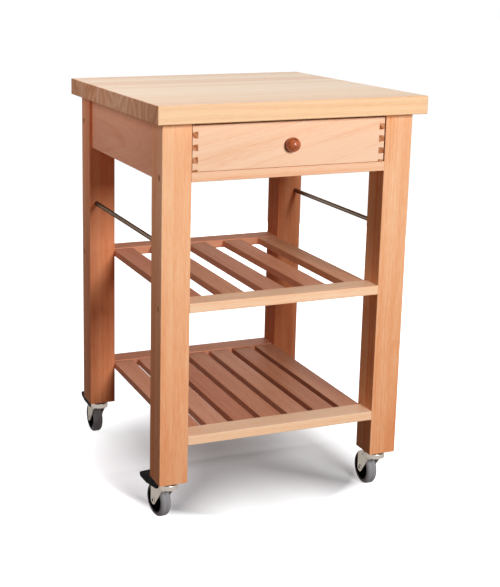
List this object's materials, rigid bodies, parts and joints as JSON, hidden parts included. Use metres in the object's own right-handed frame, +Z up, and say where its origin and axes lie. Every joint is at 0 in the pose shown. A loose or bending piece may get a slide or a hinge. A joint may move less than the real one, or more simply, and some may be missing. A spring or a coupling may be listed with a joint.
{
  "type": "kitchen cart",
  "caption": "Beech kitchen cart with a thick butcher's-block top, a dovetailed drawer, slatted shelves, side towel rails and swivel castors with brake pedals.",
  "frame": {"origin": "on the floor, under the middle of the cart's whole outline, which runs from the worktop's front edge to the rear brake pedal's tip", "axes": "+Z up; -Y is the front, where the drawer opens; +X is the right as seen from the front"},
  "size_m": [0.6, 0.642, 0.9],
  "materials": {
    "beech": "oiled, fine straight grain",
    "block_beech": "oiled butcher's block of glued staves",
    "plywood": "sanded birch plywood",
    "lacquered_knob": "gloss lacquer over stained beech",
    "stainless": "drawn stainless rod",
    "zinc_steel": "zinc plated",
    "bronze": "dark bronzed steel",
    "tyre_rubber": "matte thermoplastic rubber",
    "black_plastic": "moulded satin"
  },
  "bodies": {
    "root": {"worktop": "block_beech", "leg_front_left": "beech", "leg_front_right": "beech", "leg_back_left": "beech", "leg_back_right": "beech", "apron_left": "beech", "apron_right": "beech", "apron_back": "beech", "drawer_rail": "beech", "drawer_runner_left": "beech", "drawer_runner_right": "beech", "towel_rail_left": "stainless", "towel_rail_right": "stainless", "mid_rail_front": "beech", "mid_rail_back": "beech", "low_rail_front": "beech", "low_rail_back": "beech", "mid_slat_1": "beech", "mid_slat_2": "beech", "mid_slat_3": "beech", "mid_slat_4": "beech", "mid_slat_5": "beech", "low_slat_1": "beech", "low_slat_2": "beech", "low_slat_3": "beech", "low_slat_4": "beech", "low_slat_5": "beech", "low_slat_6": "beech", "low_slat_7": "beech", "frame_bolts": "bronze", "barrel_nuts": "zinc_steel", "worktop_brackets": "zinc_steel", "castor_front_left_stem": "zinc_steel", "castor_front_right_stem": "zinc_steel", "castor_back_left_stem": "zinc_steel", "castor_back_right_stem": "zinc_steel"},
    "drawer": {"drawer_front": "beech", "drawer_side_left": "beech", "drawer_side_right": "beech", "drawer_back": "beech", "drawer_bottom": "plywood", "drawer_knob": "lacquered_knob"},
    "swivel_front_left": {"castor_front_left_fork": "zinc_steel", "castor_front_left_axle": "zinc_steel"},
    "wheel_front_left": {"castor_front_left_wheel": "black_plastic", "castor_front_left_tyre": "tyre_rubber"},
    "swivel_front_right": {"castor_front_right_fork": "zinc_steel", "castor_front_right_axle": "zinc_steel"},
    "wheel_front_right": {"castor_front_right_wheel": "black_plastic", "castor_front_right_tyre": "tyre_rubber"},
    "swivel_back_left": {"castor_back_left_fork": "zinc_steel", "castor_back_left_axle": "zinc_steel"},
    "wheel_back_left": {"castor_back_left_wheel": "black_plastic", "castor_back_left_tyre": "tyre_rubber"},
    "swivel_back_right": {"castor_back_right_fork": "zinc_steel", "castor_back_right_axle": "zinc_steel"},
    "wheel_back_right": {"castor_back_right_wheel": "black_plastic", "castor_back_right_tyre": "tyre_rubber"},
    "brake_front_left": {"brake_pedal_front_left": "black_plastic"},
    "brake_back_left": {"brake_pedal_back_left": "black_plastic"}
  },
  "joints": [
    {"name": "drawer_slide", "type": "slide", "parent": "root", "child": "drawer", "axis": [0, -1, 0], "range_m": [0, 0.33]},
    {"name": "swivel_front_left_turn", "type": "hinge", "parent": "root", "child": "swivel_front_left", "pos_m": [-0.2495, -0.265, 0.1], "axis": [0, 0, 1], "continuous": true},
    {"name": "wheel_front_left_roll", "type": "hinge", "parent": "swivel_front_left", "child": "wheel_front_left", "pos_m": [-0.25521, -0.2244, 0.0375], "axis": [0.9903, 0.1392, 0], "continuous": true},
    {"name": "swivel_front_right_turn", "type": "hinge", "parent": "root", "child": "swivel_front_right", "pos_m": [0.2495, -0.265, 0.1], "axis": [0, 0, 1], "continuous": true},
    {"name": "wheel_front_right_roll", "type": "hinge", "parent": "swivel_front_right", "child": "wheel_front_right", "pos_m": [0.25236, -0.2241, 0.0375], "axis": [0.9976, -0.0698, 0], "continuous": true},
    {"name": "swivel_back_left_turn", "type": "hinge", "parent": "root", "child": "swivel_back_left", "pos_m": [-0.2495, 0.224, 0.1], "axis": [0, 0, 1], "continuous": true},
    {"name": "wheel_back_left_roll", "type": "hinge", "parent": "swivel_back_left", "child": "wheel_back_left", "pos_m": [-0.2495, 0.265, 0.0375], "axis": [1, 0, 0], "continuous": true},
    {"name": "swivel_back_right_turn", "type": "hinge", "parent": "root", "child": "swivel_back_right", "pos_m": [0.2495, 0.224, 0.1], "axis": [0, 0, 1], "continuous": true},
    {"name": "wheel_back_right_roll", "type": "hinge", "parent": "swivel_back_right", "child": "wheel_back_right", "pos_m": [0.24593, 0.26484, 0.0375], "axis": [0.9962, 0.0872, 0], "continuous": true},
    {"name": "brake_front_left_press", "type": "hinge", "parent": "swivel_front_left", "child": "brake_front_left", "pos_m": [-0.2534, -0.23727, 0.075], "axis": [-0.9903, -0.1392, 0], "range_deg": [-4.5, 7]},
    {"name": "brake_back_left_press", "type": "hinge", "parent": "swivel_back_left", "child": "brake_back_left", "pos_m": [-0.2495, 0.252, 0.075], "axis": [-1, 0, 0], "range_deg": [0, 11.5]}
  ]
}
